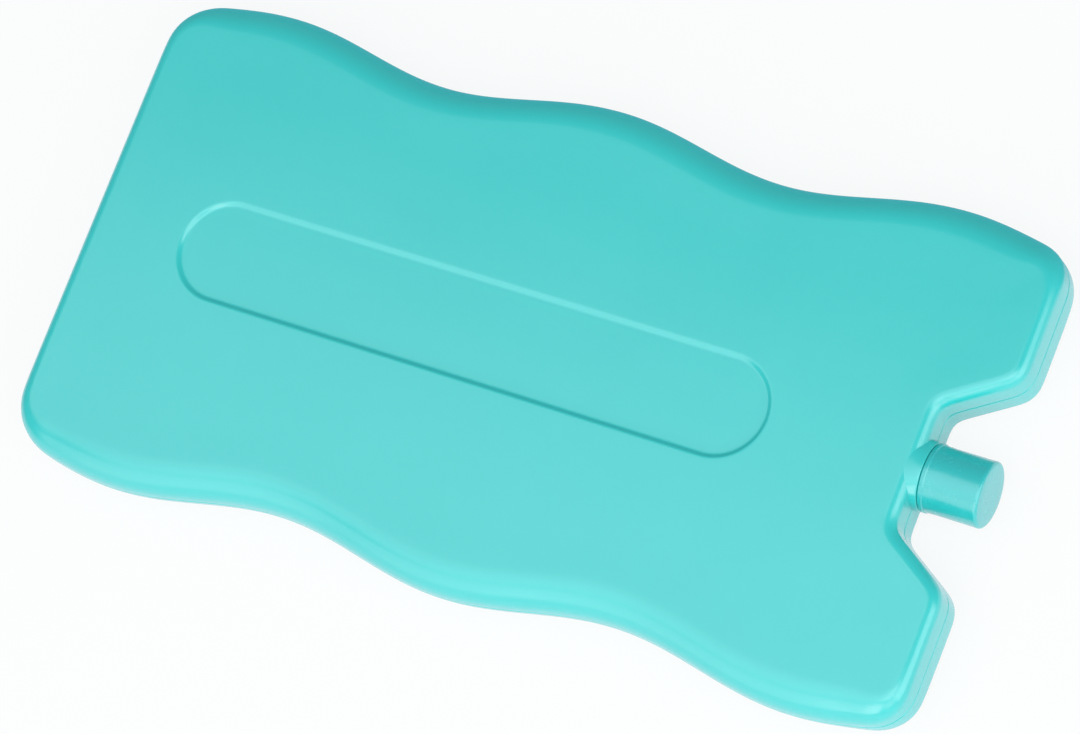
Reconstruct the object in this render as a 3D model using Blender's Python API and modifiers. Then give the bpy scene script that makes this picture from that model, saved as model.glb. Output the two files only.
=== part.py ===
"""Reusable ice pack: a flat, sealed, blow-moulded bottle of freezing gel with a filler plug.

The pack lies on its back on the plane z = 0. X runs along its length, with the flat
end at -X and the notched end with the filler plug at +X, and Z is up. The origin is
under the middle of the pack.
"""

import math

import bmesh
import bpy
from mathutils import Matrix, Vector

MM = 0.001

# Driving dimensions of the pack
LENGTH = 198 * MM
THICKNESS = 14 * MM
MEAN_HALF_WIDTH = 48.8 * MM
WAVE_DEPTH = 2.6 * MM
WAVE_PITCH = 75 * MM
WAVE_STEPS_PER_PITCH = 18
# Each corner takes this many of its own radii of the long side, measured along it
CORNER_RUN_SHARE = 1.1

# Corners of the outline, seen from above
FLAT_END_CORNER_RADIUS = 11 * MM
TAB_OUTER_CORNER_RADIUS = 8.5 * MM
TAB_INNER_CORNER_RADIUS = 5.5 * MM
NOTCH_FLOOR_CORNER_RADIUS = 1.8 * MM
CORNER_SEGMENTS = 7

# Notch that makes room for the filler plug
NOTCH_DEPTH = 14 * MM
NOTCH_FLOOR_HALF_WIDTH = 12.4 * MM
NOTCH_MOUTH_HALF_WIDTH = 21.2 * MM

# Rounding of the long sides and of the two ends, seen from the side
SIDE_EDGE_RADIUS = 6.4 * MM
END_EDGE_RADIUS = 2.4 * MM
EDGE_SEGMENTS = 6

# Line left by the two halves of the mould, half way up the wall
PARTING_LINE_DEPTH = 0.2 * MM
PARTING_LINE_HALF_HEIGHT = 0.3 * MM
PARTING_LINE_LAND = 0.15 * MM

# Shallow panel with round ends, sunk in the top and in the underside
PANEL_FROM_FLAT_END = 21 * MM
PANEL_FROM_NOTCH = 31 * MM
PANEL_WIDTH = 21.4 * MM
PANEL_DEPTH = 0.9 * MM
PANEL_WALL_RUN = 1.0 * MM
PANEL_END_SEGMENTS = 18

# Neck that stands out of the notch floor, round at its face and squarer towards its root
NECK_RADIUS = 6.95 * MM
NECK_REACH = 1.4 * MM
NECK_ROOT = 6 * MM
NECK_FACE_POWER = 2
NECK_ROOT_POWER = 4
NECK_SECTIONS = 6
NECK_SEGMENTS = 56

# Blind socket in the neck
SOCKET_RADIUS = 4.3 * MM
SOCKET_DEPTH = 8 * MM
SOCKET_SEGMENTS = 40

# Filler plug, pressed into the neck
PLUG_RADIUS = 6.65 * MM
PLUG_LENGTH = 12 * MM
PLUG_END_ROUNDING = 0.9 * MM
PLUG_RIM_PROUD = 0.2 * MM
PLUG_RIM_WIDTH = 0.8 * MM
SPIGOT_TIP_CLEARANCE = 0.6 * MM
SPIGOT_CHAMFER = 0.6 * MM
PLUG_SEGMENTS = 56
ROUNDING_SEGMENTS = 5

FIT_CLEARANCE = 0.3 * MM
CUT_OVERSHOOT = 1 * MM
MERGE_DISTANCE = 0.00001
SMOOTH_ANGLE = math.radians(30)

PACK_COLOUR = (0.078, 0.610, 0.580, 1)
PLUG_COLOUR = (0.050, 0.520, 0.520, 1)
PLASTIC_ROUGHNESS = 0.32

# Places that follow from the sizes
MID_HEIGHT = THICKNESS / 2
FLAT_END_X = -LENGTH / 2
TAB_END_X = LENGTH / 2
NOTCH_FLOOR_X = TAB_END_X - NOTCH_DEPTH
PANEL_START_X = FLAT_END_X + PANEL_FROM_FLAT_END
PANEL_END_X = NOTCH_FLOOR_X - PANEL_FROM_NOTCH
NECK_FACE_X = NOTCH_FLOOR_X + NECK_REACH
PLUG_SHOULDER_X = NECK_FACE_X + FIT_CLEARANCE
SPIGOT_LENGTH = SOCKET_DEPTH - SPIGOT_TIP_CLEARANCE + FIT_CLEARANCE
# A rounding stops short of the parting line, so that a low upright land stays between them
LARGEST_EDGE_RADIUS = MID_HEIGHT - PARTING_LINE_HALF_HEIGHT - PARTING_LINE_LAND
SIDE_ROUNDING = min(SIDE_EDGE_RADIUS, LARGEST_EDGE_RADIUS)
END_ROUNDING = min(END_EDGE_RADIUS, SIDE_ROUNDING)


def clear_scene():
    """Remove what the new file holds."""
    for scene_object in list(bpy.data.objects):
        bpy.data.objects.remove(scene_object, do_unlink=True)


def new_collection(name):
    """Add a collection to the scene."""
    collection = bpy.data.collections.new(name)
    bpy.context.scene.collection.children.link(collection)
    return collection


def plastic(name, colour):
    """Make the semi-gloss polyethylene that the pack is blown from."""
    material = bpy.data.materials.new(name)
    material.use_nodes = True
    shader = material.node_tree.nodes["Principled BSDF"]
    shader.inputs["Base Color"].default_value = colour
    shader.inputs["Roughness"].default_value = PLASTIC_ROUGHNESS
    shader.inputs["Metallic"].default_value = 0
    return material


def add_object(name, shape, collection, material=None):
    """Turn a bmesh into a named object of a collection, shaded smooth between its edges."""
    mesh = bpy.data.meshes.new(name)
    shape.to_mesh(mesh)
    shape.free()
    mesh.shade_smooth()
    mesh.set_sharp_from_angle(angle=SMOOTH_ANGLE)
    if material:
        mesh.materials.append(material)
    new_object = bpy.data.objects.new(name, mesh)
    collection.objects.link(new_object)
    return new_object


def hide_cutter(cutter):
    """Show a shape that is only cut with or joined as wires, and leave it out of renders."""
    cutter.hide_render = True
    cutter.display_type = "WIRE"


def add_boolean(target, tool, operation):
    """Cut the tool from the target or join it on, exactly."""
    modifier = target.modifiers.new(tool.name, "BOOLEAN")
    modifier.operation = operation
    modifier.solver = "EXACT"
    modifier.object = tool


def half_width(x):
    """Half width of the pack at x: the long sides wave in and out together."""
    return MEAN_HALF_WIDTH + WAVE_DEPTH * math.cos(2 * math.pi * x / WAVE_PITCH)


def waved_side():
    """Points of the far long side, between the starts of its two corners."""
    first = FLAT_END_X + FLAT_END_CORNER_RADIUS * CORNER_RUN_SHARE
    last = TAB_END_X - TAB_OUTER_CORNER_RADIUS * CORNER_RUN_SHARE
    count = max(2, round((last - first) / WAVE_PITCH * WAVE_STEPS_PER_PITCH))
    xs = [first + (last - first) * step / count for step in range(count + 1)]
    return [(x, half_width(x)) for x in xs]


def rounded_corner(before, corner, after, radius):
    """Points of an arc that rounds the corner between two straight runs."""
    before, corner, after = Vector(before), Vector(corner), Vector(after)
    back = (before - corner).normalized()
    ahead = (after - corner).normalized()
    half_angle = back.angle(ahead) / 2
    reach = radius / math.tan(half_angle)
    centre = corner + (back + ahead).normalized() * radius / math.sin(half_angle)
    start = corner + back * reach - centre
    sweep = start.angle_signed(corner + ahead * reach - centre)
    points = []
    for step in range(CORNER_SEGMENTS + 1):
        turn = -sweep * step / CORNER_SEGMENTS
        points.append((
            centre.x + start.x * math.cos(turn) - start.y * math.sin(turn),
            centre.y + start.x * math.sin(turn) + start.y * math.cos(turn),
        ))
    return points


def half_outline():
    """Far half of the outline, from the flat end's middle to the notch floor's middle."""
    side = waved_side()
    flat_middle = (FLAT_END_X, 0)
    flat_corner = (FLAT_END_X, half_width(FLAT_END_X))
    tab_outer = (TAB_END_X, half_width(TAB_END_X))
    tab_inner = (TAB_END_X, NOTCH_MOUTH_HALF_WIDTH)
    floor_corner = (NOTCH_FLOOR_X, NOTCH_FLOOR_HALF_WIDTH)
    floor_middle = (NOTCH_FLOOR_X, 0)
    points = rounded_corner(flat_middle, flat_corner, side[0], FLAT_END_CORNER_RADIUS)
    points += side
    points += rounded_corner(side[-1], tab_outer, tab_inner, TAB_OUTER_CORNER_RADIUS)
    points += rounded_corner(tab_outer, tab_inner, floor_corner, TAB_INNER_CORNER_RADIUS)
    points += rounded_corner(tab_inner, floor_corner, floor_middle, NOTCH_FLOOR_CORNER_RADIUS)
    return points


def whole_outline():
    """Closed outline of the pack, its near half the mirror image of its far half."""
    far_side = half_outline()
    near_side = [(x, -y) for x, y in reversed(far_side)]
    return far_side + near_side


def wall_normals(outline):
    """Outward direction of the wall at each point of the closed outline."""
    normals = []
    for index, point in enumerate(outline):
        before, here = Vector(outline[index - 1]), Vector(point)
        after = Vector(outline[(index + 1) % len(outline)])
        along = (here - before).normalized() + (after - here).normalized()
        normals.append(Vector((-along.y, along.x)).normalized())
    return normals


def edge_radius(point, normal):
    """Radius of the rounding between wall and face at one point of the outline.

    It is wide along the sides and tight at the ends and round the notch. On the
    outer corners it passes from one to the other as the wall turns.
    """
    if abs(point[1]) < NOTCH_MOUTH_HALF_WIDTH + TAB_INNER_CORNER_RADIUS:
        return END_ROUNDING
    turn = math.atan2(abs(normal.x), abs(normal.y)) / (math.pi / 2)
    eased = turn * turn * (3 - 2 * turn)
    return SIDE_ROUNDING + (END_ROUNDING - SIDE_ROUNDING) * eased


def wall_section(radius):
    """Section of the wall as inset and height, from the underside to the top."""
    lower = []
    for step in range(EDGE_SEGMENTS + 1):
        angle = math.pi / 2 * step / EDGE_SEGMENTS
        lower.append((radius * (1 - math.sin(angle)), radius * (1 - math.cos(angle))))
    lower.append((0, MID_HEIGHT - PARTING_LINE_HALF_HEIGHT))
    upper = [(inset, THICKNESS - height) for inset, height in reversed(lower)]
    return lower + [(PARTING_LINE_DEPTH, MID_HEIGHT)] + upper


def make_block():
    """Loft the wall's changing section round the outline, and close both faces."""
    shape = bmesh.new()
    outline = whole_outline()
    columns = []
    for point, normal in zip(outline, wall_normals(outline)):
        column = []
        for inset, height in wall_section(edge_radius(point, normal)):
            place = Vector(point) - normal * inset
            column.append(shape.verts.new((place.x, place.y, height)))
        columns.append(column)
    for index, column in enumerate(columns):
        before = columns[index - 1]
        for level in range(len(column) - 1):
            corners = (before[level], column[level], column[level + 1], before[level + 1])
            shape.faces.new(corners)
    faces = [shape.faces.new([column[level] for column in columns]) for level in (0, -1)]
    bmesh.ops.triangulate(shape, faces=faces)
    bmesh.ops.recalc_face_normals(shape, faces=shape.faces)
    return shape


def panel_ring(shape, radius, height):
    """Add the vertices of a level outline with two straight sides and half-round ends."""
    end_inset = PANEL_WIDTH / 2
    for end, centre_x in ((1, PANEL_END_X - end_inset), (-1, PANEL_START_X + end_inset)):
        for step in range(PANEL_END_SEGMENTS + 1):
            angle = math.pi * (step / PANEL_END_SEGMENTS - 0.5)
            x = centre_x + end * radius * math.cos(angle)
            shape.verts.new((x, end * radius * math.sin(angle), height))


def panel_cutter(name, collection, face_height, outward):
    """Shape of the sunk panel, its wall leaning outwards as it leaves the face."""
    shape = bmesh.new()
    floor_radius = PANEL_WIDTH / 2 - PANEL_WALL_RUN
    slope = PANEL_WALL_RUN / PANEL_DEPTH
    panel_ring(shape, floor_radius, face_height - outward * PANEL_DEPTH)
    panel_ring(shape, PANEL_WIDTH / 2 + slope * CUT_OVERSHOOT, face_height + outward * CUT_OVERSHOOT)
    bmesh.ops.convex_hull(shape, input=shape.verts)
    cutter = add_object(name, shape, collection)
    hide_cutter(cutter)
    return cutter


def neck_section(power):
    """Section of the neck as places along Y and Z: power 2 is round, more is squarer."""
    section = []
    for step in range(NECK_SEGMENTS):
        angle = 2 * math.pi * step / NECK_SEGMENTS
        across, up = math.cos(angle), math.sin(angle)
        reach = NECK_RADIUS / (abs(across) ** power + abs(up) ** power) ** (1 / power)
        section.append((reach * across, reach * up))
    return section


def neck_tool(collection):
    """Loft of the neck from its squarish root inside the block to its round face."""
    shape = bmesh.new()
    rings = []
    for index in range(NECK_SECTIONS + 1):
        share = index / NECK_SECTIONS
        x = NOTCH_FLOOR_X - NECK_ROOT + (NECK_ROOT + NECK_REACH) * share
        power = NECK_ROOT_POWER + (NECK_FACE_POWER - NECK_ROOT_POWER) * share
        rings.append([shape.verts.new((x, y, MID_HEIGHT + z)) for y, z in neck_section(power)])
    for ring, after in zip(rings, rings[1:]):
        for step in range(NECK_SEGMENTS):
            shape.faces.new((ring[step - 1], ring[step], after[step], after[step - 1]))
    for ring in (rings[0], rings[-1]):
        shape.faces.new(ring)
    bmesh.ops.recalc_face_normals(shape, faces=shape.faces)
    tool = add_object("neck", shape, collection)
    hide_cutter(tool)
    return tool


def socket_cutter(collection):
    """Cylinder on the neck's axis that cuts the blind socket."""
    shape = bmesh.new()
    bottom_x = NECK_FACE_X - SOCKET_DEPTH
    mouth_x = NECK_FACE_X + CUT_OVERSHOOT
    centre = Matrix.Translation(((bottom_x + mouth_x) / 2, 0, MID_HEIGHT))
    bmesh.ops.create_cone(
        shape,
        cap_ends=True,
        segments=SOCKET_SEGMENTS,
        radius1=SOCKET_RADIUS,
        radius2=SOCKET_RADIUS,
        depth=mouth_x - bottom_x,
        matrix=centre @ Matrix.Rotation(math.pi / 2, 4, "Y"),
    )
    cutter = add_object("socket", shape, collection)
    hide_cutter(cutter)
    return cutter


def make_pack_body(parts, tools):
    """Blown bottle with its gel: waved sides, rounded edges, sunk panels and neck."""
    body = add_object("pack_body", make_block(), parts, plastic("pack_plastic", PACK_COLOUR))
    add_boolean(body, panel_cutter("top_panel", tools, THICKNESS, 1), "DIFFERENCE")
    add_boolean(body, panel_cutter("underside_panel", tools, 0, -1), "DIFFERENCE")
    add_boolean(body, neck_tool(tools), "UNION")
    add_boolean(body, socket_cutter(tools), "DIFFERENCE")
    return body


def plug_profile():
    """Half section of the plug as radius and height, from the tip of its head down."""
    centre_radius = PLUG_RADIUS - PLUG_END_ROUNDING
    centre_height = PLUG_LENGTH - PLUG_END_ROUNDING
    rim_radius = PLUG_RADIUS + PLUG_RIM_PROUD
    spigot_radius = SOCKET_RADIUS - FIT_CLEARANCE
    profile = [(0, PLUG_LENGTH)]
    for step in range(ROUNDING_SEGMENTS + 1):
        angle = math.pi / 2 * (1 - step / ROUNDING_SEGMENTS)
        profile.append((
            centre_radius + PLUG_END_ROUNDING * math.cos(angle),
            centre_height + PLUG_END_ROUNDING * math.sin(angle),
        ))
    profile += [
        (PLUG_RADIUS, PLUG_RIM_WIDTH + PLUG_RIM_PROUD),
        (rim_radius, PLUG_RIM_WIDTH),
        (rim_radius, 0),
        (spigot_radius, 0),
        (spigot_radius, SPIGOT_CHAMFER - SPIGOT_LENGTH),
        (spigot_radius - SPIGOT_CHAMFER, -SPIGOT_LENGTH),
        (0, -SPIGOT_LENGTH),
    ]
    return profile


def make_filler_plug(parts):
    """Turned plug: a plain round head with a thin rim, and a spigot for the socket."""
    shape = bmesh.new()
    vertices = [shape.verts.new((radius, 0, height)) for radius, height in plug_profile()]
    for upper, lower in zip(vertices, vertices[1:]):
        shape.edges.new((upper, lower))
    plug = add_object("filler_plug", shape, parts, plastic("plug_plastic", PLUG_COLOUR))
    plug.location = (PLUG_SHOULDER_X, 0, MID_HEIGHT)
    plug.rotation_euler = (0, math.pi / 2, 0)
    turning = plug.modifiers.new("turning", "SCREW")
    turning.axis = "Z"
    turning.steps = PLUG_SEGMENTS
    turning.render_steps = PLUG_SEGMENTS
    turning.use_merge_vertices = True
    turning.merge_threshold = MERGE_DISTANCE
    turning.use_smooth_shade = True
    return plug


def main():
    """Build the pack and its plug."""
    clear_scene()
    parts = new_collection("reusable_ice_pack")
    tools = new_collection("cutters")
    make_pack_body(parts, tools)
    make_filler_plug(parts)
    bpy.context.view_layer.update()


main()
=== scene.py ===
"""Dress the reusable ice pack: a blown turquoise bottle of freezing gel and its filler plug.

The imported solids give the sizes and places. The bottle and the plug are modelled again here
as fine meshes, with the soft edges, the parting line and the slight unevenness of blown
polyethylene, and are lit by soft boxes above a white floor.
"""

import logging
import math
from dataclasses import dataclass
from enum import Enum

import bmesh
import bpy
from mathutils import Matrix, Vector, kdtree, noise


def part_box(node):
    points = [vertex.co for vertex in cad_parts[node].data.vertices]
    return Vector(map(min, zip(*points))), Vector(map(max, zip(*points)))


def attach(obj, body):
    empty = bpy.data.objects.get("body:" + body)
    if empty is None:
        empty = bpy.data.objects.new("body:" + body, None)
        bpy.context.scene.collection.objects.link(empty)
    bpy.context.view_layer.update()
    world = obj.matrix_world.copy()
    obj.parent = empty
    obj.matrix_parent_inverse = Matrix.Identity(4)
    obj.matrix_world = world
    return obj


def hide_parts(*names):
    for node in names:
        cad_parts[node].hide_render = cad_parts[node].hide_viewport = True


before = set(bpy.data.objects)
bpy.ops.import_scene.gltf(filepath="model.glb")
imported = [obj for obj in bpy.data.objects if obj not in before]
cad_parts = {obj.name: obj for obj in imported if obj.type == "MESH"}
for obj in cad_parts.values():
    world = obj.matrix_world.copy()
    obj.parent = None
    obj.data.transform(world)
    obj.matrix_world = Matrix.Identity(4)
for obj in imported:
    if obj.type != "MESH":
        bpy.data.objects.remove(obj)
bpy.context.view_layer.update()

MM = 0.001
BODY = "root"
SMOOTH_ANGLE = math.radians(32)
MERGE_DISTANCE = 0.001 * MM

# Middle of the values that a noise texture gives
NOISE_MIDDLE = 0.5

# The Mix node's colour sockets share their names with its other types, so they go by number
MIX_FIRST, MIX_SECOND, MIX_RESULT = 6, 7, 2

# Light with a little more red, as in the highlights along the pack's near side
WARM = (1, 0.80, 0.80)

Colour = tuple[float, float, float, float]

log = logging.getLogger("ice_pack")


class Slot(Enum):
    """Names of two material slots, which the script does not assign."""

    PACK = "pack_plastic"
    PLUG = "plug_plastic"


class Side(Enum):
    """Faces of the bottle, as the sign of their outward direction."""

    TOP = 1
    UNDERSIDE = -1


class Tool(Enum):
    """What a solid does to the piece that it meets."""

    JOINS = "UNION"
    CUTS = "DIFFERENCE"


class Signal:
    """A shader value whose arithmetic adds Math nodes to its graph."""

    def __init__(self, graph: "ShaderGraph", socket: bpy.types.NodeSocket) -> None:
        """Keep the graph and the socket that carries the value.

        Args:
            graph: Graph that new nodes are added to.
            socket: Output socket that holds the value.
        """
        self.graph = graph
        self.socket = socket

    def _math(self, operation: str, first: object, second: object) -> "Signal":
        """Join two values by one Math node.

        Args:
            operation: Name of the Math node's operation.
            first: Left value, a signal or a number.
            second: Right value, a signal or a number.

        Returns:
            The node's result.
        """
        return self.graph.value("ShaderNodeMath", {"operation": operation}, {0: first, 1: second})

    def __add__(self, other: object) -> "Signal":
        """Add a signal or a number."""
        return self._math("ADD", self, other)

    __radd__ = __add__

    def __sub__(self, other: object) -> "Signal":
        """Take away a signal or a number."""
        return self._math("SUBTRACT", self, other)

    def __rsub__(self, other: object) -> "Signal":
        """Take this signal away from a number."""
        return self._math("SUBTRACT", other, self)

    def __mul__(self, other: object) -> "Signal":
        """Multiply by a signal or a number."""
        return self._math("MULTIPLY", self, other)

    __rmul__ = __mul__


class ShaderGraph:
    """Node tree of one material around its Principled shader."""

    def __init__(self, name: str) -> None:
        """Make the material with its shader and its output.

        Args:
            name: Name of the material.
        """
        self.material = bpy.data.materials.new(name)
        self.material.use_nodes = True
        self.tree = self.material.node_tree
        self.shader = self.tree.nodes["Principled BSDF"]

    def node(self, kind: str, settings: dict, inputs: dict) -> bpy.types.Node:
        """Add a node, set it up and connect it.

        Args:
            kind: Blender's type name of the node.
            settings: Attributes of the node, set before its sockets.
            inputs: Values, signals or sockets by socket name or number.

        Returns:
            The new node.
        """
        made = self.tree.nodes.new(kind)
        for name, setting in settings.items():
            setattr(made, name, setting)
        for key, value in inputs.items():
            self.feed(made.inputs[key], value)
        return made

    def value(self, kind: str, settings: dict, inputs: dict, output: object = 0) -> Signal:
        """Add a node and wrap one of its outputs.

        Args:
            kind: Blender's type name of the node.
            settings: Attributes of the node, set before its sockets.
            inputs: Values, signals or sockets by socket name or number.
            output: Name or number of the output that is wrapped.

        Returns:
            The output as a signal.
        """
        return Signal(self, self.node(kind, settings, inputs).outputs[output])

    def feed(self, target: bpy.types.NodeSocket, value: object) -> None:
        """Link a signal or a socket to an input, or set a plain value on it.

        Args:
            target: Input socket to fill.
            value: Signal, socket, number or colour.
        """
        source = value.socket if isinstance(value, Signal) else value
        if isinstance(source, bpy.types.NodeSocket):
            self.tree.links.new(source, target)
        else:
            target.default_value = source

    def coordinates(self) -> bpy.types.NodeSocket:
        """Socket of the object's own coordinates."""
        return self.node("ShaderNodeTexCoord", {}, {}).outputs["Object"]

    def noise(self, size: float, detail: float) -> Signal:
        """Cloudy noise on the object's own coordinates.

        Args:
            size: Size of its features in metres.
            detail: Number of finer octaves.

        Returns:
            Values around the middle of the noise.
        """
        return self.value(
            "ShaderNodeTexNoise",
            {"noise_dimensions": "3D"},
            {"Vector": self.coordinates(), "Scale": 1 / size, "Detail": detail},
            "Fac",
        )

    def blend(self, factor: Signal, first: object, second: object) -> bpy.types.NodeSocket:
        """Mix two colours.

        Args:
            factor: Share of the second colour.
            first: Colour at factor 0, or the socket that gives it.
            second: Colour at factor 1, or the socket that gives it.

        Returns:
            Socket of the mixed colour.
        """
        inputs = {"Factor": factor, MIX_FIRST: first, MIX_SECOND: second}
        return self.node("ShaderNodeMix", {"data_type": "RGBA"}, inputs).outputs[MIX_RESULT]

    def bump(self, height: Signal, distance: float, under: object = None) -> bpy.types.NodeSocket:
        """Turn a height into a normal.

        Args:
            height: Height signal, in shares of the distance.
            distance: Height in metres at a signal of 1.
            under: Normal of a coarser bump below this one.

        Returns:
            Socket of the normal.
        """
        inputs = {"Height": height, "Distance": distance, "Strength": 1.0}
        if under is not None:
            inputs["Normal"] = under
        return self.node("ShaderNodeBump", {}, inputs).outputs["Normal"]


@dataclass(frozen=True)
class SemiGlossPlastic:
    """Self-coloured polyethylene with a soft sheen, slightly uneven in tint and gloss.

    Attributes:
        name: Name of the material.
        deep: Colour where the tint is strongest.
        pale: Colour where the tint is weakest.
        roughness: Mean roughness of the skin.
        roughness_swing: Difference between its dull and its glossy places.
        cloud_size: Size in metres of the broad clouds in tint.
        cloud_share: Share of the clouds in the tint, where the rest is fine mottling.
        fleck_size: Size in metres of the fine mottling.
        ripple_size: Size in metres of the broad unevenness.
        ripple_depth: Height in metres of the broad unevenness.
        skin_size: Size in metres of the fine grain of the skin.
        skin_depth: Height in metres of the fine grain of the skin.
        refraction: Index of refraction.
        gloss: Weight of the glossier layer at the very surface.
        gloss_roughness: Roughness of that layer.
    """

    name: str
    deep: Colour
    pale: Colour
    roughness: float
    roughness_swing: float
    cloud_size: float = 30 * MM
    cloud_share: float = 0.75
    fleck_size: float = 2.2 * MM
    ripple_size: float = 14 * MM
    ripple_depth: float = 0.05 * MM
    skin_size: float = 0.9 * MM
    skin_depth: float = 0.0015 * MM
    refraction: float = 1.6
    gloss: float = 1.0
    gloss_roughness: float = 0.24

    def material(self) -> bpy.types.Material:
        """Build the material.

        Returns:
            The finished material.
        """
        graph = ShaderGraph(self.name)
        clouds = graph.noise(self.cloud_size, detail=3.0)
        flecks = graph.noise(self.fleck_size, detail=4.0)
        tint = clouds * self.cloud_share + flecks * (1 - self.cloud_share)
        colour = graph.blend(tint, self.deep, self.pale)
        unevenness = (flecks + clouds) * 0.5 - NOISE_MIDDLE
        dullness = self.roughness + unevenness * self.roughness_swing
        broad = graph.bump(graph.noise(self.ripple_size, detail=1.0), self.ripple_depth)
        skin = graph.bump(graph.noise(self.skin_size, detail=2.0), self.skin_depth, broad)
        graph.feed(graph.shader.inputs["Base Color"], colour)
        graph.feed(graph.shader.inputs["Roughness"], dullness)
        graph.feed(graph.shader.inputs["Normal"], skin)
        graph.shader.inputs["IOR"].default_value = self.refraction
        graph.shader.inputs["Coat Weight"].default_value = self.gloss
        graph.shader.inputs["Coat Roughness"].default_value = self.gloss_roughness
        graph.shader.inputs["Coat IOR"].default_value = self.refraction
        return graph.material


def closed_ring(shape: bmesh.types.BMesh, places: list[Vector]) -> list[bmesh.types.BMVert]:
    """Start a mesh from a circle whose vertices are put at their places.

    Args:
        shape: Mesh that the ring is added to.
        places: Place of each vertex, in order round the ring.

    Returns:
        The ring's vertices in order.
    """
    made = bmesh.ops.create_circle(shape, cap_ends=False, radius=1, segments=len(places))
    first = made["verts"][0]
    ring = [first]
    before, here = None, first
    while len(ring) < len(places):
        ahead = next(
            edge.other_vert(here) for edge in here.link_edges if edge.other_vert(here) != before
        )
        ring.append(ahead)
        before, here = here, ahead
    for vertex, place in zip(ring, places):
        vertex.co = place
    return ring


def next_ring(
    shape: bmesh.types.BMesh, ring: list[bmesh.types.BMVert], places: list[Vector]
) -> list[bmesh.types.BMVert]:
    """Extrude a closed ring and put the copy at its places.

    Args:
        shape: Mesh that holds the ring.
        ring: Vertices of the ring in order.
        places: Place of each new vertex.

    Returns:
        The new ring's vertices in the same order.
    """
    edges = [shape.edges.get(pair) for pair in zip(ring, ring[1:] + ring[:1])]
    grown = bmesh.ops.extrude_edge_only(shape, edges=edges)["geom"]
    fresh = {item for item in grown if isinstance(item, bmesh.types.BMVert)}
    copies = []
    for vertex, place in zip(ring, places):
        copy = next(
            edge.other_vert(vertex)
            for edge in vertex.link_edges
            if edge.other_vert(vertex) in fresh
        )
        copy.co = place
        copies.append(copy)
    return copies


def close_ring(shape: bmesh.types.BMesh, ring: list[bmesh.types.BMVert]) -> None:
    """Fill a closed ring with triangles.

    Args:
        shape: Mesh that holds the ring.
        ring: Vertices of the ring in order.
    """
    edges = [shape.edges.get(pair) for pair in zip(ring, ring[1:] + ring[:1])]
    made = bmesh.ops.contextual_create(shape, geom=edges)["faces"]
    bmesh.ops.triangulate(shape, faces=made)


def close_mirrored_ring(shape: bmesh.types.BMesh, ring: list[bmesh.types.BMVert]) -> None:
    """Fill a ring whose two halves mirror each other with a strip of faces across it.

    Args:
        shape: Mesh that holds the ring.
        ring: Vertices of the ring in order, from one that lies on the mirror line.
    """
    for step in range(len(ring) // 2):
        corners = (ring[step], ring[step + 1], ring[-step - 1], ring[-step])
        shape.faces.new(tuple(dict.fromkeys(corners)))


def turned(shape: bmesh.types.BMesh, profile: list[tuple[float, float]], steps: int) -> None:
    """Spin a profile about the X axis into a closed solid.

    Args:
        shape: Mesh that the solid is added to.
        profile: Place along X and radius of each point, from axis to axis.
        steps: Number of steps in the full turn.
    """
    points = [shape.verts.new((along, 0, radius)) for along, radius in profile]
    edges = [shape.edges.new(pair) for pair in zip(points, points[1:])]
    bmesh.ops.spin(
        shape,
        geom=points + edges,
        cent=(0, 0, 0),
        axis=(1, 0, 0),
        angle=2 * math.pi,
        steps=steps,
        use_merge=True,
    )
    bmesh.ops.remove_doubles(shape, verts=shape.verts, dist=MERGE_DISTANCE)
    bmesh.ops.recalc_face_normals(shape, faces=shape.faces)


def quarter_arc(steps: int) -> list[tuple[float, float]]:
    """Points of a unit quarter circle.

    Args:
        steps: Number of steps along the arc.

    Returns:
        Sine and cosine at each step, from (0, 1) to (1, 0).
    """
    angles = [math.pi / 2 * step / steps for step in range(steps + 1)]
    return [(math.sin(angle), math.cos(angle)) for angle in angles]


def eased(share: float) -> float:
    """Smooth step of a share from 0 to 1."""
    return share * share * (3 - 2 * share)


def cloud_at(place: Vector) -> float:
    """Smooth noise at a place, from 0 to 1."""
    return 0.5 + 0.5 * noise.noise(place)


def new_object(name: str, shape: bmesh.types.BMesh) -> bpy.types.Object:
    """Make an object of a mesh and free the mesh.

    Args:
        name: Name of the object.
        shape: Mesh, which is freed.

    Returns:
        The new object at the origin.
    """
    mesh = bpy.data.meshes.new(name)
    shape.to_mesh(mesh)
    shape.free()
    made = bpy.data.objects.new(name, mesh)
    bpy.context.scene.collection.objects.link(made)
    return made


def smooth_between_edges(piece: bpy.types.Object) -> None:
    """Shade a mesh smooth, with creases at its sharp edges."""
    piece.data.shade_smooth()
    piece.data.set_sharp_from_angle(angle=SMOOTH_ANGLE)


def cut_and_join(piece: bpy.types.Object, tools: list[tuple[bpy.types.Object, Tool]]) -> None:
    """Join and cut a solid with exact Booleans, and keep the result as its own mesh.

    Args:
        piece: Solid that is worked on.
        tools: Each tool with what it does, in order. The tools are removed.
    """
    for tool, effect in tools:
        step = piece.modifiers.new(tool.name, "BOOLEAN")
        step.operation = effect.value
        step.solver = "EXACT"
        step.object = tool
    graph = bpy.context.evaluated_depsgraph_get()
    rough = piece.data
    piece.data = bpy.data.meshes.new_from_object(piece.evaluated_get(graph))
    piece.data.name = piece.name
    piece.modifiers.clear()
    bpy.data.meshes.remove(rough)
    for tool, _ in tools:
        bpy.data.objects.remove(tool, do_unlink=True)


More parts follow.
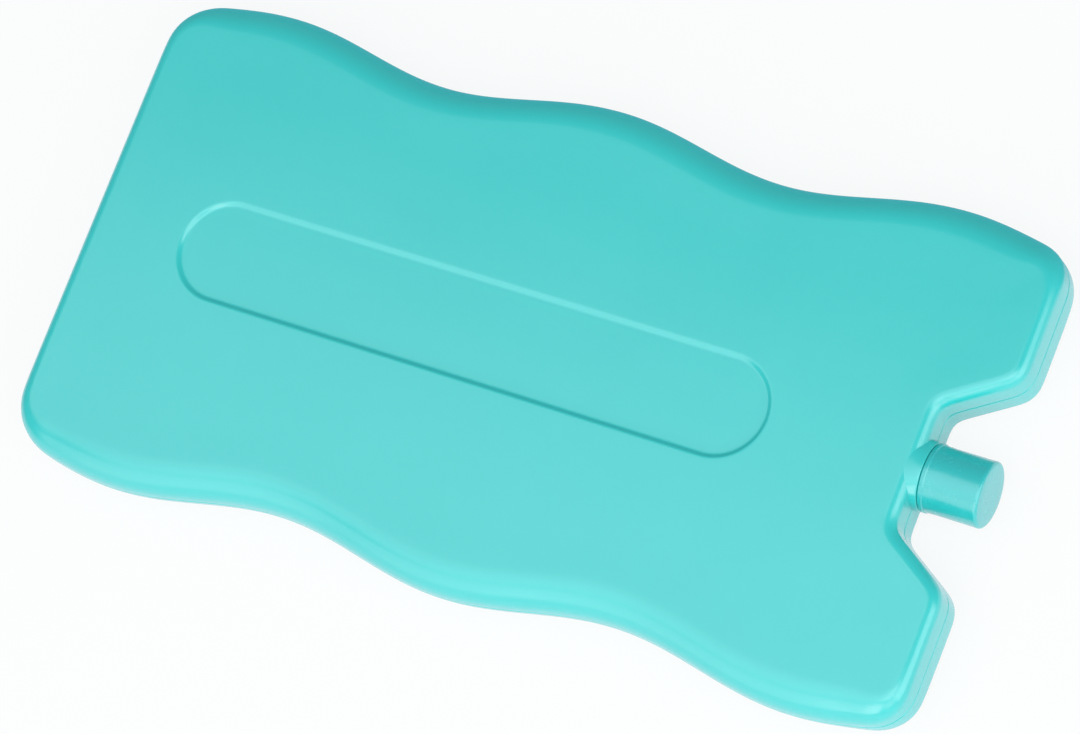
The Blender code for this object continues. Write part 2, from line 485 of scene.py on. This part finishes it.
@dataclass(frozen=True)
class Outline:
    """Plan of the bottle: waved long sides, a straight end, and a notch between two tabs.

    Attributes:
        length: Length over both ends.
        widest: Half width at the crests of the waves.
        count: Number of points round the whole outline.
        wave_depth: Half the difference in half width between crest and trough.
        wave_pitch: Length of one wave.
        corner_run_share: Part of a long side that a corner takes, in its own radii.
        flat_corner_radius: Radius of the two corners at the straight end.
        tab_outer_radius: Radius of a tab's corner at the long side.
        tab_inner_radius: Radius of a tab's corner at the notch.
        floor_corner_radius: Radius of the corners in the notch.
        notch_depth: Depth of the notch from the ends of the tabs.
        floor_half_width: Half width of the notch at its floor.
        mouth_half_width: Half width of the notch at the ends of the tabs.
        arc_steps: Number of steps in a rounded corner.
        side_steps: Number of steps along a long side.
        easing_rounds: Number of times that the joins of arcs and runs are eased.
    """

    length: float
    widest: float
    count: int = 720
    wave_depth: float = 2.6 * MM
    wave_pitch: float = 75 * MM
    corner_run_share: float = 1.1
    flat_corner_radius: float = 11 * MM
    tab_outer_radius: float = 8.5 * MM
    tab_inner_radius: float = 5.5 * MM
    floor_corner_radius: float = 1.8 * MM
    notch_depth: float = 14 * MM
    floor_half_width: float = 12.4 * MM
    mouth_half_width: float = 21.2 * MM
    arc_steps: int = 16
    side_steps: int = 160
    easing_rounds: int = 4

    @property
    def notch_floor_x(self) -> float:
        """Place of the notch floor along the pack."""
        return self.length / 2 - self.notch_depth

    def half_width(self, x: float) -> float:
        """Half width of the bottle at x."""
        swing = math.cos(2 * math.pi * x / self.wave_pitch)
        return self.widest - self.wave_depth + self.wave_depth * swing

    def waved_side(self) -> list[Vector]:
        """Run the wave along the far long side.

        Returns:
            Points of the side between its two corners.
        """
        first = -self.length / 2 + self.flat_corner_radius * self.corner_run_share
        last = self.length / 2 - self.tab_outer_radius * self.corner_run_share
        run = last - first
        xs = [first + run * step / self.side_steps for step in range(self.side_steps + 1)]
        return [Vector((x, self.half_width(x))) for x in xs]

    def arc(self, before: Vector, corner: Vector, after: Vector, radius: float) -> list[Vector]:
        """Round the corner between two straight runs.

        Args:
            before: A point on the run that comes in.
            corner: Place where the runs meet.
            after: A point on the run that goes out.
            radius: Radius of the rounding.

        Returns:
            Points of the arc.
        """
        back = (before - corner).normalized()
        ahead = (after - corner).normalized()
        half_angle = back.angle(ahead) / 2
        reach = radius / math.tan(half_angle)
        centre = corner + (back + ahead).normalized() * radius / math.sin(half_angle)
        start = corner + back * reach - centre
        sweep = start.angle_signed(corner + ahead * reach - centre)
        turns = [-sweep * step / self.arc_steps for step in range(self.arc_steps + 1)]
        return [centre + Matrix.Rotation(turn, 2) @ start for turn in turns]

    def far_half(self) -> list[Vector]:
        """Lay the corners and runs of the far half end to end.

        Returns:
            Points from the straight end's middle to the notch floor's middle.
        """
        end = self.length / 2
        side = self.waved_side()
        flat_middle = Vector((-end, 0))
        flat_corner = Vector((-end, self.half_width(-end)))
        tab_outer = Vector((end, self.half_width(end)))
        tab_inner = Vector((end, self.mouth_half_width))
        floor_corner = Vector((self.notch_floor_x, self.floor_half_width))
        floor_middle = Vector((self.notch_floor_x, 0))
        points = [flat_middle]
        points += self.arc(flat_middle, flat_corner, side[0], self.flat_corner_radius)
        points += side
        points += self.arc(side[-1], tab_outer, tab_inner, self.tab_outer_radius)
        points += self.arc(tab_outer, tab_inner, floor_corner, self.tab_inner_radius)
        points += self.arc(tab_inner, floor_corner, floor_middle, self.floor_corner_radius)
        return points + [floor_middle]

    def points(self) -> list[Vector]:
        """Evenly spaced points round the whole plan, clockwise seen from above.

        Returns:
            The closed outline, with its joins eased.
        """
        far = self.far_half()
        loop = far + [Vector((place.x, -place.y)) for place in reversed(far)]
        runs = [(ahead - here).length for here, ahead in zip(loop, loop[1:] + loop[:1])]
        spacing = sum(runs) / self.count
        even = []
        travelled = 0.0
        for here, ahead, run in zip(loop, loop[1:] + loop[:1], runs):
            while len(even) < self.count and len(even) * spacing < travelled + run:
                even.append(here.lerp(ahead, (len(even) * spacing - travelled) / run))
            travelled += run
        for _ in range(self.easing_rounds):
            even = [
                (even[index - 1] + 2 * even[index] + even[(index + 1) % self.count]) / 4
                for index in range(self.count)
            ]
        return even

    @staticmethod
    def normals(points: list[Vector]) -> list[Vector]:
        """Work out which way the wall faces.

        Args:
            points: Points of a clockwise outline.

        Returns:
            Outward direction at each point.
        """
        count = len(points)
        along = [points[(index + 1) % count] - points[index - 1] for index in range(count)]
        return [Vector((-step.y, step.x)).normalized() for step in along]


@dataclass(frozen=True)
class BlownBottle:
    """The bottle: one blown moulding with waved sides, a sunk panel each side and a neck.

    Attributes:
        length: Length over both ends.
        thickness: Thickness between the two faces.
        outline: Plan of the bottle.
        side_rounding: Radius of the edge rounding along the long sides.
        end_rounding: Radius of the edge rounding at the ends and in the notch.
        rounding_steps: Number of steps in the edge rounding.
        radius_easing_rounds: Number of times that the change between the two radii is eased.
        parting_line_depth: Depth of the groove that the mould's halves leave in the wall.
        parting_line_half_height: Half the height of that groove.
        groove_slope: Place of the groove's inner bend, as shares of its depth and half height.
        face_border: Width of the first ring of a face.
        face_steps: Number of rings between that one and the panel.
        panel_from_flat_end: Distance of the panel from the straight end.
        panel_from_notch: Distance of the panel from the notch floor.
        panel_width: Width of the panel at its rim.
        panel_depth: Depth of the panel's floor below the face.
        panel_wall_run: Width of the panel's wall, seen from above.
        panel_lip: Width of the rings that hold the wall's two edges crisp.
        panel_wall_steps: Number of steps in the panel's wall.
        panel_floor_steps: Number of rings in the panel's floor.
        panel_floor_core: Half width of the strip that closes the floor.
        sink_depth: Greatest depth that the cooling plastic is drawn in by.
        sink_size: Size of its hollows.
        sink_fade: Distance from the face's edge at which it is full.
        neck_radius: Radius of the neck.
        neck_reach: Length of the neck outside the notch floor.
        neck_root: Length of the neck inside the body.
        neck_face_power: Power of the neck's section at its face, where 2 is round.
        neck_root_power: Power of its section at the root, where more is squarer.
        neck_lip_rounding: Radius at the edge of the neck's face.
        neck_lip_steps: Number of steps in that rounding.
        neck_sections: Number of steps along the neck.
        neck_steps: Number of steps round the neck and its socket.
        socket_radius: Radius of the socket for the plug's spigot.
        socket_depth: Depth of the socket.
        socket_overshoot: Length of the cutting tool outside the neck.
    """

    length: float
    thickness: float
    outline: Outline
    side_rounding: float = 6.4 * MM
    end_rounding: float = 2.4 * MM
    rounding_steps: int = 9
    radius_easing_rounds: int = 60
    parting_line_depth: float = 0.2 * MM
    parting_line_half_height: float = 0.28 * MM
    groove_slope: tuple[float, float] = (0.7, 0.35)
    face_border: float = 0.5 * MM
    face_steps: int = 12
    panel_from_flat_end: float = 21 * MM
    panel_from_notch: float = 31 * MM
    panel_width: float = 21.4 * MM
    panel_depth: float = 0.65 * MM
    panel_wall_run: float = 1.0 * MM
    panel_lip: float = 0.3 * MM
    panel_wall_steps: int = 10
    panel_floor_steps: int = 6
    panel_floor_core: float = 0.4 * MM
    sink_depth: float = 0.1 * MM
    sink_size: float = 34 * MM
    sink_fade: float = 8 * MM
    neck_radius: float = 6.95 * MM
    neck_reach: float = 1.4 * MM
    neck_root: float = 6 * MM
    neck_face_power: float = 2.0
    neck_root_power: float = 4.0
    neck_lip_rounding: float = 0.35 * MM
    neck_lip_steps: int = 4
    neck_sections: int = 20
    neck_steps: int = 128
    socket_radius: float = 4.3 * MM
    socket_depth: float = 8 * MM
    socket_overshoot: float = 1 * MM

    @property
    def middle(self) -> float:
        """Height of the parting line."""
        return self.thickness / 2

    def rounding_radii(self, points: list[Vector], normals: list[Vector]) -> list[float]:
        """Radius of the edge rounding at each point: wide on the sides, tight at the ends.

        Args:
            points: Outline of the bottle.
            normals: Outward direction at each point.

        Returns:
            One radius for each point.
        """
        plan = self.outline
        near_notch = plan.mouth_half_width + plan.tab_inner_radius
        radii = []
        for point, normal in zip(points, normals):
            turn = eased(math.atan2(abs(normal.x), abs(normal.y)) / (math.pi / 2))
            share = 1.0 if abs(point.y) < near_notch else turn
            radii.append(self.side_rounding + (self.end_rounding - self.side_rounding) * share)
        count = len(radii)
        for _ in range(self.radius_easing_rounds):
            radii = [
                (radii[index - 1] + 2 * radii[index] + radii[(index + 1) % count]) / 4
                for index in range(count)
            ]
        return radii

    def wall_levels(self, radius: float) -> list[tuple[float, float]]:
        """Section of the wall, as inset and height, from the underside to the top.

        Args:
            radius: Radius of the rounding there.

        Returns:
            The section's points, as many at every radius.
        """
        half_line = self.parting_line_half_height
        bend_depth, bend_height = self.groove_slope
        lower = [
            (radius * (1 - across), radius * (1 - up))
            for across, up in quarter_arc(self.rounding_steps)
        ]
        lower.append((0, self.middle - half_line))
        lower.append((self.parting_line_depth * bend_depth, self.middle - half_line * bend_height))
        upper = [(inset, self.thickness - height) for inset, height in reversed(lower)]
        return lower + [(self.parting_line_depth, self.middle)] + upper

    def panel_core(self, place: Vector) -> Vector:
        """Find the point of the panel's centre line nearest to a place.

        Args:
            place: Place on the face, seen from above.

        Returns:
            The point, seen from above.
        """
        end_radius = self.panel_width / 2
        first = -self.length / 2 + self.panel_from_flat_end + end_radius
        last = self.outline.notch_floor_x - self.panel_from_notch - end_radius
        return Vector((min(max(place.x, first), last), 0))

    def sink(self, place: Vector) -> float:
        """Depth by which the cooling plastic has drawn the face in at a place."""
        return self.sink_depth * cloud_at(Vector((place.x, place.y, 0)) / self.sink_size)

    def face_levels(self, spans: list[float]) -> list[list[tuple[float, float]]]:
        """Rings of a face, from its edge to the middle of the panel.

        Args:
            spans: Distance of each point of the edge from the panel's centre line.

        Returns:
            For each ring, the distance of every point from the centre line and its drop.
        """
        rim = self.panel_width / 2
        floor = rim - self.panel_wall_run
        inner = floor - self.panel_lip
        levels = [[(span - self.face_border, 0.0) for span in spans]]
        for step in range(1, self.face_steps + 1):
            share = step / self.face_steps
            levels.append([
                ((span - self.face_border) * (1 - share) + (rim + self.panel_lip) * share, 0.0)
                for span in spans
            ])
        levels.append([(rim, 0.0)] * len(spans))
        for step in range(1, self.panel_wall_steps + 1):
            share = step / self.panel_wall_steps
            distance = rim + (floor - rim) * share
            levels.append([(distance, self.panel_depth * eased(share))] * len(spans))
        for step in range(self.panel_floor_steps + 1):
            share = step / self.panel_floor_steps
            distance = inner + (self.panel_floor_core - inner) * share
            levels.append([(distance, self.panel_depth)] * len(spans))
        return levels

    def add_face(
        self, shape: bmesh.types.BMesh, ring: list[bmesh.types.BMVert], side: Side
    ) -> None:
        """Close one face of the bottle, with its sunk panel.

        Args:
            shape: Mesh that holds the wall.
            ring: Ring where the wall's rounding ends.
            side: Face that is closed.
        """
        face_height = self.middle + side.value * self.middle
        edge = [vertex.co.to_2d() for vertex in ring]
        cores = [self.panel_core(place) for place in edge]
        rays = [(place - core).normalized() for place, core in zip(edge, cores)]
        spans = [(place - core).length for place, core in zip(edge, cores)]
        border = kdtree.KDTree(len(edge))
        for index, place in enumerate(edge):
            border.insert(place.to_3d(), index)
        border.balance()
        for level in self.face_levels(spans):
            places = []
            for core, ray, (distance, drop) in zip(cores, rays, level):
                flat = core + ray * distance
                _, _, clearance = border.find(flat.to_3d())
                depth = drop + self.sink(flat) * eased(min(1, clearance / self.sink_fade))
                places.append(Vector((flat.x, flat.y, face_height - side.value * depth)))
            ring = next_ring(shape, ring, places)
        close_mirrored_ring(shape, ring)

    def shell(self) -> bpy.types.Object:
        """Loft the wall round the outline and close both faces.

        Returns:
            The bottle without its neck.
        """
        points = self.outline.points()
        normals = self.outline.normals(points)
        radii = self.rounding_radii(points, normals)
        columns = [self.wall_levels(radius) for radius in radii]
        shape = bmesh.new()
        rings = []
        for level in range(len(columns[0])):
            places = []
            for point, normal, column in zip(points, normals, columns):
                inset, height = column[level]
                flat = point - normal * inset
                places.append(Vector((flat.x, flat.y, height)))
            ring = next_ring(shape, rings[-1], places) if rings else closed_ring(shape, places)
            rings.append(ring)
        self.add_face(shape, rings[0], Side.UNDERSIDE)
        self.add_face(shape, rings[-1], Side.TOP)
        bmesh.ops.recalc_face_normals(shape, faces=shape.faces)
        return new_object("ice_pack_bottle", shape)

    @property
    def neck_face_x(self) -> float:
        """Place of the neck's end face along the pack."""
        return self.outline.notch_floor_x + self.neck_reach

    def neck_section(self, x: float, inset: float, power: float) -> list[Vector]:
        """Section of the neck at x.

        Args:
            x: Place along the pack.
            inset: Distance by which the section is smaller than the neck.
            power: 2 for a round section, more for a squarer one.

        Returns:
            The section's points in order.
        """
        places = []
        for step in range(self.neck_steps):
            angle = 2 * math.pi * step / self.neck_steps
            across, up = math.cos(angle), math.sin(angle)
            squareness = (abs(across) ** power + abs(up) ** power) ** (1 / power)
            reach = (self.neck_radius - inset) / squareness
            places.append(Vector((x, reach * across, self.middle + reach * up)))
        return places

    def neck(self) -> bpy.types.Object:
        """Loft the neck, squarish at its root in the body and round at its lip.

        Returns:
            The solid that is joined to the bottle.
        """
        shape = bmesh.new()
        root = self.outline.notch_floor_x - self.neck_root
        lip = self.neck_lip_rounding
        straight = self.neck_face_x - lip - root
        sections = []
        for step in range(self.neck_sections + 1):
            share = step / self.neck_sections
            power = self.neck_root_power + (self.neck_face_power - self.neck_root_power) * share
            sections.append(self.neck_section(root + straight * share, 0, power))
        for across, up in quarter_arc(self.neck_lip_steps)[1:]:
            x = self.neck_face_x - lip + lip * across
            sections.append(self.neck_section(x, lip * (1 - up), self.neck_face_power))
        first = ring = closed_ring(shape, sections[0])
        for section in sections[1:]:
            ring = next_ring(shape, ring, section)
        close_ring(shape, first)
        close_ring(shape, ring)
        bmesh.ops.recalc_face_normals(shape, faces=shape.faces)
        return new_object("neck_tool", shape)

    def socket(self) -> bpy.types.Object:
        """Turn the blind socket for the plug's spigot.

        Returns:
            The solid that is cut out of the neck.
        """
        shape = bmesh.new()
        radius = self.socket_radius
        bottom = self.neck_face_x - self.socket_depth
        mouth = self.neck_face_x + self.socket_overshoot
        profile = [(bottom, 0), (bottom, radius), (mouth, radius), (mouth, 0)]
        turned(shape, profile, self.neck_steps)
        bmesh.ops.translate(shape, verts=shape.verts, vec=(0, 0, self.middle))
        return new_object("socket_tool", shape)

    def build(self) -> bpy.types.Object:
        """Make the whole bottle and set it in the frame.

        Returns:
            The bottle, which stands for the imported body.
        """
        bottle = self.shell()
        cut_and_join(bottle, [(self.neck(), Tool.JOINS), (self.socket(), Tool.CUTS)])
        smooth_between_edges(bottle)
        finish = SemiGlossPlastic(
            name="blown_polyethylene",
            deep=(0.024, 0.560, 0.540, 1),
            pale=(0.036, 0.605, 0.580, 1),
            roughness=0.25,
            roughness_swing=0.05,
        )
        bottle.data.materials.clear()
        bottle.data.materials.append(finish.material())
        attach(bottle, BODY)
        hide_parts("pack_body")
        return bottle


@dataclass(frozen=True)
class FillerPlug:
    """The plug: a plain round head with a thin rim, and a spigot that sits in the neck.

    Attributes:
        low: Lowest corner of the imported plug.
        high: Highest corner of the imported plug.
        rim_proud: Height of the rim above the head's side.
        rim_width: Width of the rim along the plug.
        rim_edge: Radius at the edge of the rim.
        rim_steps: Number of steps in that edge.
        head_length: Length of the head with its rim.
        head_steps: Number of steps along the head's side.
        end_rounding: Radius at the edge of the end face.
        end_steps: Number of steps in that edge.
        end_ring_share: Radius of the ring that stiffens the end face, as a share of its own.
        turn_steps: Number of steps round the plug.
        spigot_radius: Radius of the spigot.
        spigot_chamfer: Chamfer at the spigot's tip.
        seating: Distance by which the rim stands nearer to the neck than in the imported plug.
        ripple_depth: Greatest depth of the hollows in the head's side.
        ripple_length: Size of the hollows along the plug.
        ripple_width: Size of the hollows across it.
        ripple_fade: Distance from rim and end at which the hollows are full.
    """

    low: Vector
    high: Vector
    rim_proud: float = 0.2 * MM
    rim_width: float = 0.8 * MM
    rim_edge: float = 0.22 * MM
    rim_steps: int = 4
    head_length: float = 12 * MM
    head_steps: int = 36
    end_rounding: float = 0.7 * MM
    end_steps: int = 5
    end_ring_share: float = 0.5
    turn_steps: int = 144
    spigot_radius: float = 4 * MM
    spigot_chamfer: float = 0.6 * MM
    seating: float = 0.18 * MM
    ripple_depth: float = 0.11 * MM
    ripple_length: float = 9 * MM
    ripple_width: float = 3.4 * MM
    ripple_fade: float = 2 * MM

    def profile(self) -> list[tuple[float, float]]:
        """Draw the half section of the plug.

        Returns:
            Place along X and radius of each point, from the spigot to the head.
        """
        rim_radius = (self.high.z - self.low.z) / 2
        head_radius = rim_radius - self.rim_proud
        shoulder = self.high.x - self.head_length - self.seating
        end = self.high.x
        soft = self.end_rounding
        points = [
            (self.low.x, 0),
            (self.low.x, self.spigot_radius - self.spigot_chamfer),
            (self.low.x + self.spigot_chamfer, self.spigot_radius),
            (shoulder, self.spigot_radius),
        ]
        points += [
            (shoulder + self.rim_edge * (1 - across), rim_radius - self.rim_edge * (1 - up))
            for across, up in reversed(quarter_arc(self.rim_steps))
        ]
        points.append((shoulder + self.rim_width, rim_radius))
        start = shoulder + self.rim_width + self.rim_proud
        for step in range(self.head_steps + 1):
            points.append((start + (end - soft - start) * step / self.head_steps, head_radius))
        points += [
            (end - soft + soft * across, head_radius - soft + soft * up)
            for across, up in quarter_arc(self.end_steps)[1:]
        ]
        return points + [(end, head_radius * self.end_ring_share), (end, 0)]

    def ripple(self, shape: bmesh.types.BMesh) -> None:
        """Make the head's side slightly uneven, as the hot moulding was pulled.

        Args:
            shape: Mesh of the plug about the X axis.
        """
        start = self.high.x - self.head_length + self.rim_width + self.rim_proud
        for vertex in shape.verts:
            radius = math.hypot(vertex.co.y, vertex.co.z)
            if vertex.co.x < start or radius < self.spigot_radius:
                continue
            from_rim = (vertex.co.x - start) / self.ripple_fade
            from_end = (self.high.x - vertex.co.x) / self.ripple_fade
            along = Vector((vertex.co.x / self.ripple_length, 0, 0))
            across = Vector((0, vertex.co.y, vertex.co.z)) / self.ripple_width
            depth = self.ripple_depth * max(0, min(1, from_rim, from_end))
            shrink = depth * cloud_at(across + along)
            vertex.co.y *= 1 - shrink / radius
            vertex.co.z *= 1 - shrink / radius

    def build(self) -> bpy.types.Object:
        """Turn the plug and set it in the frame.

        Returns:
            The plug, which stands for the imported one.
        """
        shape = bmesh.new()
        turned(shape, self.profile(), self.turn_steps)
        self.ripple(shape)
        middle = (self.low.z + self.high.z) / 2
        bmesh.ops.translate(shape, verts=shape.verts, vec=(0, 0, middle))
        plug = new_object("filler_plug_moulded", shape)
        smooth_between_edges(plug)
        finish = SemiGlossPlastic(
            name="moulded_polyethylene",
            deep=(0.018, 0.490, 0.485, 1),
            pale=(0.030, 0.545, 0.535, 1),
            roughness=0.27,
            roughness_swing=0.10,
            cloud_size=7 * MM,
        )
        plug.data.materials.append(finish.material())
        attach(plug, BODY)
        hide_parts("filler_plug")
        return plug


@dataclass(frozen=True)
class SoftBox:
    """A rectangular studio lamp that shines at the pack.

    Attributes:
        name: Name of the lamp.
        place: Where it stands, in metres.
        size: Its two sides, in metres.
        radiance: Brightness of its surface, where 1 is white.
        colour: Tint of its light.
        aim: Point that it faces, in metres.
    """

    name: str
    place: tuple[float, float, float]
    size: tuple[float, float]
    radiance: float
    colour: tuple[float, float, float] = (1, 1, 1)
    aim: tuple[float, float, float] = (0, 0, 0)

    def build(self) -> None:
        """Add the lamp to the scene."""
        light = bpy.data.lights.new(self.name, "AREA")
        light.shape = "RECTANGLE"
        light.size, light.size_y = self.size
        light.energy = self.radiance * math.pi * self.size[0] * self.size[1]
        light.color = self.colour
        lamp = bpy.data.objects.new(self.name, light)
        lamp.location = self.place
        facing = Vector(self.aim) - Vector(self.place)
        lamp.rotation_euler = facing.to_track_quat("-Z", "Y").to_euler()
        bpy.context.scene.collection.objects.link(lamp)


@dataclass(frozen=True)
class Studio:
    """White sweep with painted reflections, soft boxes and sky light.

    Attributes:
        floor_size: Side of the square floor, in metres.
        floor_white: Whiteness of the floor's own surface, which takes the shadow.
        shadow_share: Share of that surface in what the camera and the plastic see.
        painted_front_reflection: Painted reflection of the floor, near white, that the plastic
            shows before and under the pack.
        painted_far_reflection: Painted dark teal reflection that the plastic shows beyond the
            pack's far side, which paints shade along its far rim.
        painted_dark_starts: Place across the pack where the painted reflection starts to darken.
        painted_dark_ends: Place across the pack where the painted reflection is as dark as it
            gets.
        sky: Colour of the sky light.
        sky_strength: Strength of the sky light.
        boxes: Lamps round the pack.
    """

    floor_size: float = 6.0
    floor_white: float = 0.86
    shadow_share: float = 0.12
    # Painted reflections of the floor: near white before the pack, dark teal beyond its far side,
    # which paints shade along the far rim
    painted_front_reflection: Colour = (0.82, 0.90, 0.96, 1)
    painted_far_reflection: Colour = (0.05, 0.45, 0.53, 1)
    painted_dark_starts: float = 44 * MM
    painted_dark_ends: float = 54 * MM
    sky: Colour = (0.54, 0.92, 1.0, 1)
    sky_strength: float = 0.42
    boxes: tuple[SoftBox, ...] = (
        SoftBox("ceiling", (-0.25, -0.37, 0.80), (0.80, 0.66), 1.14, aim=(-0.25, -0.37, 0)),
        SoftBox("ceiling_sheen", (-0.25, 0.07, 0.80), (0.80, 0.22), 1.08, aim=(-0.25, 0.07, 0)),
        SoftBox("ceiling_right", (0.40, -0.30, 0.80), (0.50, 0.60), 1.9, aim=(0.40, -0.30, 0)),
        SoftBox("near_left", (-0.48, -0.93, 0.42), (0.76, 0.85), 1.12, WARM, aim=(-0.48, 0, 0)),
        SoftBox("near_right", (0.18, -0.92, 0.44), (0.52, 0.72), 2.40, WARM, aim=(0.18, 0, 0)),
        SoftBox("corner", (0.68, -0.70, 0.40), (0.46, 0.60), 1.35, WARM),
        SoftBox("notched_end_side", (0.93, -0.12, 0.42), (0.80, 0.85), 1.82),
    )

    def floor_material(self) -> bpy.types.Material:
        """White floor with a faint shadow, and painted reflections.

        The camera sees it white. To the plastic it glows as a painted reflection, nearly white
        before the pack and dark teal beyond its far side, which paints shade along the pack's far
        rim.

        Returns:
            The floor's material.
        """
        graph = ShaderGraph("white_sweep_painted_reflection")
        white = (self.floor_white, self.floor_white, self.floor_white, 1)
        graph.shader.inputs["Base Color"].default_value = white
        graph.shader.inputs["Roughness"].default_value = 1.0
        graph.shader.inputs["Specular IOR Level"].default_value = 0.0
        path = graph.node("ShaderNodeLightPath", {}, {})
        seen = Signal(graph, path.outputs["Is Camera Ray"])
        mirrored = Signal(graph, path.outputs["Is Glossy Ray"])
        across = graph.value("ShaderNodeSeparateXYZ", {}, {"Vector": graph.coordinates()}, "Y")
        # Painted reflection: to glossy rays the floor glows near white before the pack and dark
        # teal beyond its far side, which paints shade along the pack's far rim
        beyond = graph.value(
            "ShaderNodeMapRange",
            {"interpolation_type": "SMOOTHSTEP"},
            {"Value": across, "From Min": self.painted_dark_starts, "From Max": self.painted_dark_ends},
        )
        painted_reflection = graph.blend(beyond, self.painted_front_reflection, self.painted_far_reflection)
        colour = graph.blend(mirrored, (1, 1, 1, 1), painted_reflection)
        glow = graph.node("ShaderNodeEmission", {}, {"Color": colour, "Strength": 1.0})
        share = (seen + mirrored) * (1 - self.shadow_share)
        mixed = graph.node(
            "ShaderNodeMixShader",
            {},
            {"Fac": share, 1: graph.shader.outputs["BSDF"], 2: glow.outputs["Emission"]},
        )
        output = graph.tree.nodes["Material Output"]
        graph.feed(output.inputs["Surface"], mixed.outputs["Shader"])
        return graph.material

    def build(self) -> None:
        """Add the floor, the sky and the lamps."""
        shape = bmesh.new()
        bmesh.ops.create_grid(shape, x_segments=1, y_segments=1, size=self.floor_size / 2)
        floor = new_object("studio_floor", shape)
        floor.data.materials.append(self.floor_material())
        world = bpy.data.worlds.new("sky")
        world.use_nodes = True
        background = world.node_tree.nodes["Background"]
        background.inputs["Color"].default_value = self.sky
        background.inputs["Strength"].default_value = self.sky_strength
        bpy.context.scene.world = world
        for box in self.boxes:
            box.build()


@dataclass(frozen=True)
class PhotoCamera:
    """Camera that looks down on the pack from its near right corner, rolled.

    Attributes:
        target: Point that it looks at.
        azimuth: Degrees from the near side towards the notched end.
        elevation: Degrees above the floor.
        roll: Degrees that the picture is turned by.
        distance: Distance to the target.
        lens: Focal length in millimetres.
        sensor: Width of the sensor in millimetres.
        nearest: Distance at which the camera starts to see.
    """

    target: tuple[float, float, float] = (2.73 * MM, -2.06 * MM, 7 * MM)
    azimuth: float = 67.0
    elevation: float = 64.3
    roll: float = -47.5
    distance: float = 1.0
    lens: float = 170.5
    sensor: float = 36.0
    nearest: float = 0.01

    def build(self) -> None:
        """Add the camera and make it the scene's own."""
        data = bpy.data.cameras.new("photo_camera")
        data.sensor_width = self.sensor
        data.lens = self.lens
        data.clip_start = self.nearest
        azimuth, elevation = math.radians(self.azimuth), math.radians(self.elevation)
        back = Vector((
            math.sin(azimuth) * math.cos(elevation),
            -math.cos(azimuth) * math.cos(elevation),
            math.sin(elevation),
        ))
        turn = (-back).to_track_quat("-Z", "Y").to_matrix()
        camera = bpy.data.objects.new("photo_camera", data)
        rolled = turn @ Matrix.Rotation(math.radians(self.roll), 3, "Z")
        camera.matrix_world = rolled.to_4x4()
        camera.location = Vector(self.target) + back * self.distance
        bpy.context.scene.collection.objects.link(camera)
        bpy.context.scene.camera = camera


def report(piece: bpy.types.Object) -> None:
    """Log a finished piece with its number of faces."""
    log.info("%s: %d faces", piece.name, len(piece.data.polygons))


def main() -> None:
    """Build the camera, the bottle, the plug and the studio."""
    logging.basicConfig(level=logging.INFO, format="%(name)s: %(message)s")
    bpy.context.scene.view_settings.view_transform = "Standard"
    PhotoCamera().build()
    low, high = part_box("pack_body")
    bottle = BlownBottle(
        length=high.x - low.x,
        thickness=high.z - low.z,
        outline=Outline(length=high.x - low.x, widest=high.y),
    )
    report(bottle.build())
    report(FillerPlug(*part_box("filler_plug")).build())
    Studio().build()


if __name__ == "__main__":
    main()
